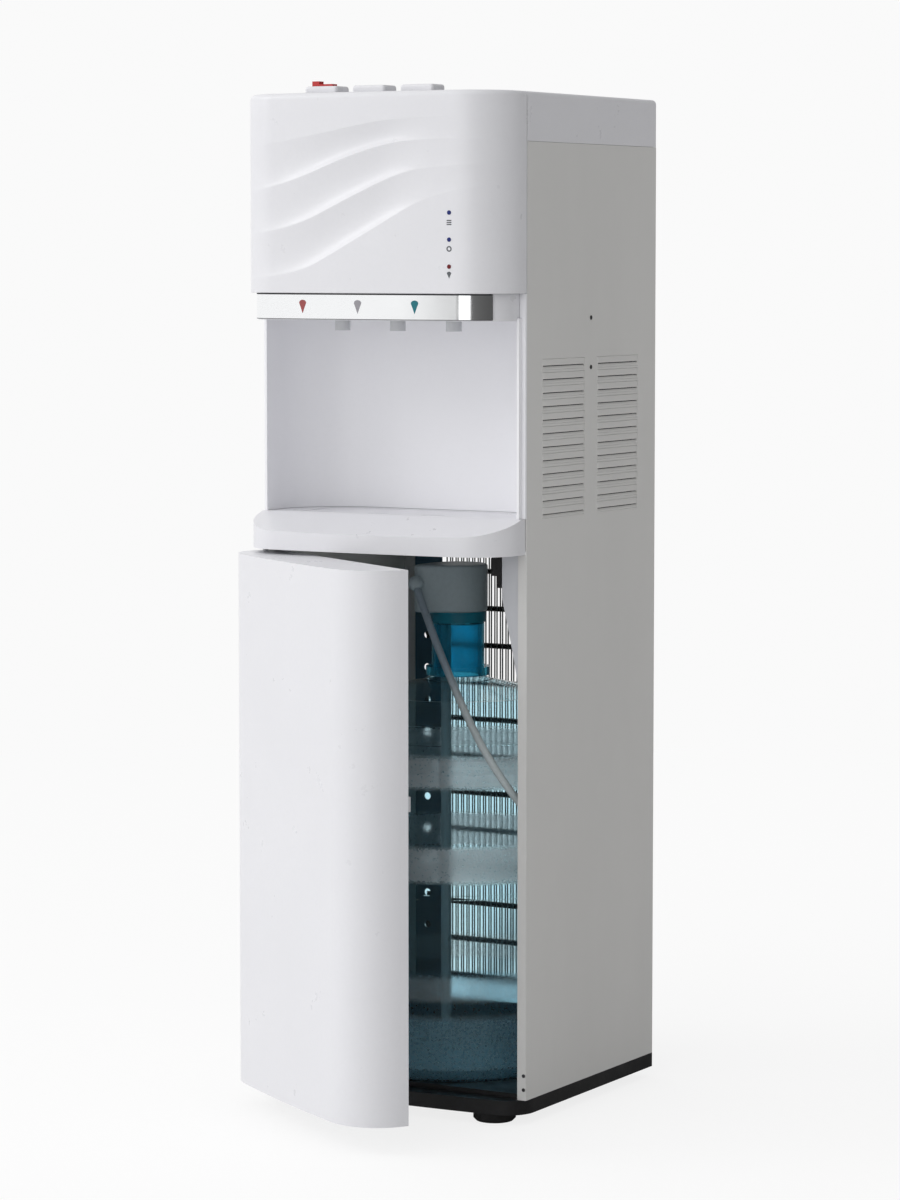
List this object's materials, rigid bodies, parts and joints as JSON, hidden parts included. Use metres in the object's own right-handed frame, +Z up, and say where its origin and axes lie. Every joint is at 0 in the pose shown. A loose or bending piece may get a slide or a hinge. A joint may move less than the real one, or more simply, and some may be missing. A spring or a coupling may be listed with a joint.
{
  "type": "bottom load water cooler",
  "caption": "Free-standing cooler with a bottle bay behind a curved hinged door, a cup alcove with taps, push buttons on top and a wire condenser at the back.",
  "frame": {"origin": "on the floor, under the middle of the bounding box with the door ajar as in the picture", "axes": "+Z up, -Y towards the user in front of the door, +X to the right as seen from the front"},
  "size_m": [0.3134, 0.5003, 1.0623],
  "materials": {
    "white_plastic": "smooth satin",
    "white_steel": "powder coated",
    "black_plastic": "moulded",
    "black_rubber": "matte",
    "dark_steel": "painted",
    "black_steel": "painted",
    "zinc_steel": "zinc plated",
    "stainless": "brushed",
    "trim_metal": "brushed",
    "copper": "bare",
    "foam": "foam",
    "grey_plastic": "moulded",
    "light_grey": "moulded",
    "red_plastic": "smooth",
    "teal_plastic": "smooth",
    "blue_cap": "translucent",
    "bottle_blue": "translucent, clear",
    "lens_dark": "clear",
    "board_green": "lacquered",
    "hose_grey": "silicone"
  },
  "bodies": {
    "cabinet": {"base_tray": "black_plastic", "feet": "black_rubber", "side_panel_left": "white_steel", "side_panel_right": "white_steel", "rear_panel": "dark_steel", "rear_rails": "dark_steel", "condenser_tube": "black_steel", "condenser_wires": "black_steel", "condenser_clips": "black_steel", "compressor_deck": "zinc_steel", "compressor": "black_steel", "compressor_mounts": "black_rubber", "tank_shelf": "zinc_steel", "cold_tank": "stainless", "cold_tank_lid": "white_plastic", "evaporator_coil": "copper", "cold_tank_insulation": "foam", "hot_tank": "stainless", "hot_tank_jacket": "foam", "hot_tank_heater": "stainless", "water_pump": "black_plastic", "water_hoses": "hose_grey", "display_board": "board_green", "control_box": "light_grey", "front_fascia": "white_plastic", "indicator_lenses": "lens_dark", "top_cover": "white_plastic", "dispense_hood": "white_plastic", "trim_strip": "trim_metal", "alcove_panel": "white_plastic", "ledge_housing": "white_plastic", "tap_hot": "light_grey", "tap_ambient": "light_grey", "tap_cold": "light_grey", "hinge_brackets": "zinc_steel", "corner_gussets": "grey_plastic", "door_switch": "black_plastic", "bottle": "bottle_blue", "bottle_cap": "blue_cap", "probe_head": "grey_plastic", "probe_collar": "teal_plastic", "probe_tube": "light_grey", "probe_hose": "hose_grey", "rear_switch_bezel": "black_plastic", "cord_gland": "black_plastic", "drain_outlet": "grey_plastic", "side_screws": "zinc_steel"},
    "door": {"door_shell": "white_plastic", "door_liner": "white_plastic", "door_bushes": "grey_plastic", "door_catch": "light_grey"},
    "button_hot": {"button_hot": "white_plastic"},
    "button_ambient": {"button_ambient": "white_plastic"},
    "button_cold": {"button_cold": "white_plastic"},
    "child_lock": {"child_lock": "red_plastic"},
    "switch_hot": {"switch_hot": "red_plastic"},
    "switch_cold": {"switch_cold": "teal_plastic"},
    "drip_tray": {"drip_tray": "white_plastic"},
    "drip_grille": {"drip_grille": "white_plastic"},
    "drain_cap": {"drain_cap": "black_plastic"}
  },
  "joints": [
    {"name": "door_hinge", "type": "hinge", "parent": "cabinet", "child": "door", "pos_m": [-0.14254, -0.07084, 0.3], "axis": [0, 0, -1], "range_deg": [-33, 67]},
    {"name": "button_hot_press", "type": "slide", "parent": "cabinet", "child": "button_hot", "axis": [0, 0, -1], "range_m": [0, 0.004], "stiffness_N_per_m": 400, "springref_m": -0.004},
    {"name": "button_ambient_press", "type": "slide", "parent": "cabinet", "child": "button_ambient", "axis": [0, 0, -1], "range_m": [0, 0.004], "stiffness_N_per_m": 400, "springref_m": -0.004},
    {"name": "button_cold_press", "type": "slide", "parent": "cabinet", "child": "button_cold", "axis": [0, 0, -1], "range_m": [0, 0.004], "stiffness_N_per_m": 400, "springref_m": -0.004},
    {"name": "child_lock_slide", "type": "slide", "parent": "button_hot", "child": "child_lock", "axis": [1, 0, 0], "range_m": [0, 0.006]},
    {"name": "switch_hot_rock", "type": "hinge", "parent": "cabinet", "child": "switch_hot", "pos_m": [0.05846, 0.23736, 0.915], "axis": [-1, 0, 0], "range_deg": [0, 16]},
    {"name": "switch_cold_rock", "type": "hinge", "parent": "cabinet", "child": "switch_cold", "pos_m": [0.08246, 0.23736, 0.915], "axis": [-1, 0, 0], "range_deg": [0, 16]},
    {"name": "drip_tray_lift", "type": "slide", "parent": "cabinet", "child": "drip_tray", "axis": [0, 0, 1], "range_m": [0, 0.04]},
    {"name": "drip_grille_lift", "type": "slide", "parent": "drip_tray", "child": "drip_grille", "axis": [0, 0, 1], "range_m": [0, 0.03]},
    {"name": "drain_cap_pull", "type": "slide", "parent": "cabinet", "child": "drain_cap", "axis": [0, 1, 0], "range_m": [0, 0.02]}
  ]
}
